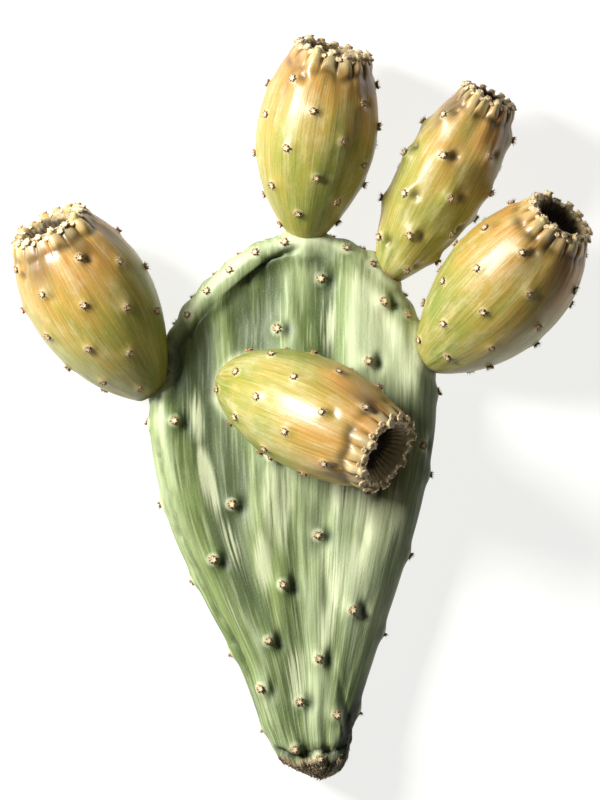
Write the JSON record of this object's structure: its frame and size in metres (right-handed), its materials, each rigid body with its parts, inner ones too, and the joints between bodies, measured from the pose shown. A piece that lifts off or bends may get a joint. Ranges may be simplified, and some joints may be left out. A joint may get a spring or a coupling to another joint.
{
  "type": "prickly pear cactus pad with fruits",
  "caption": "Picked prickly pear pad lying on its back, obovate and thick, with barrel-shaped fruits on its upper margin and face and bristly areoles all over.",
  "frame": {"origin": "middle of the small flat spot on the back of the pad that it lies on", "axes": "+Y along the pad from its scarred base to its round top, +Z out of the face that carries the front fruit, +X across the pad"},
  "size_m": [0.2582, 0.334, 0.0964],
  "materials": {
    "pad_skin": "waxy grey-green living skin with a faint bloom",
    "fruit_skin": "smooth yellow-green ripening fruit skin with a soft sheen",
    "areole": "felted cushions with tufts of short golden-brown bristles",
    "cork": "dry corky scar tissue"
  },
  "bodies": {
    "root": {"pad": "pad_skin", "fruit_top": "fruit_skin", "fruit_left": "fruit_skin", "fruit_upper_right": "fruit_skin", "fruit_lower_right": "fruit_skin", "fruit_front": "fruit_skin"}
  },
  "joints": []
}
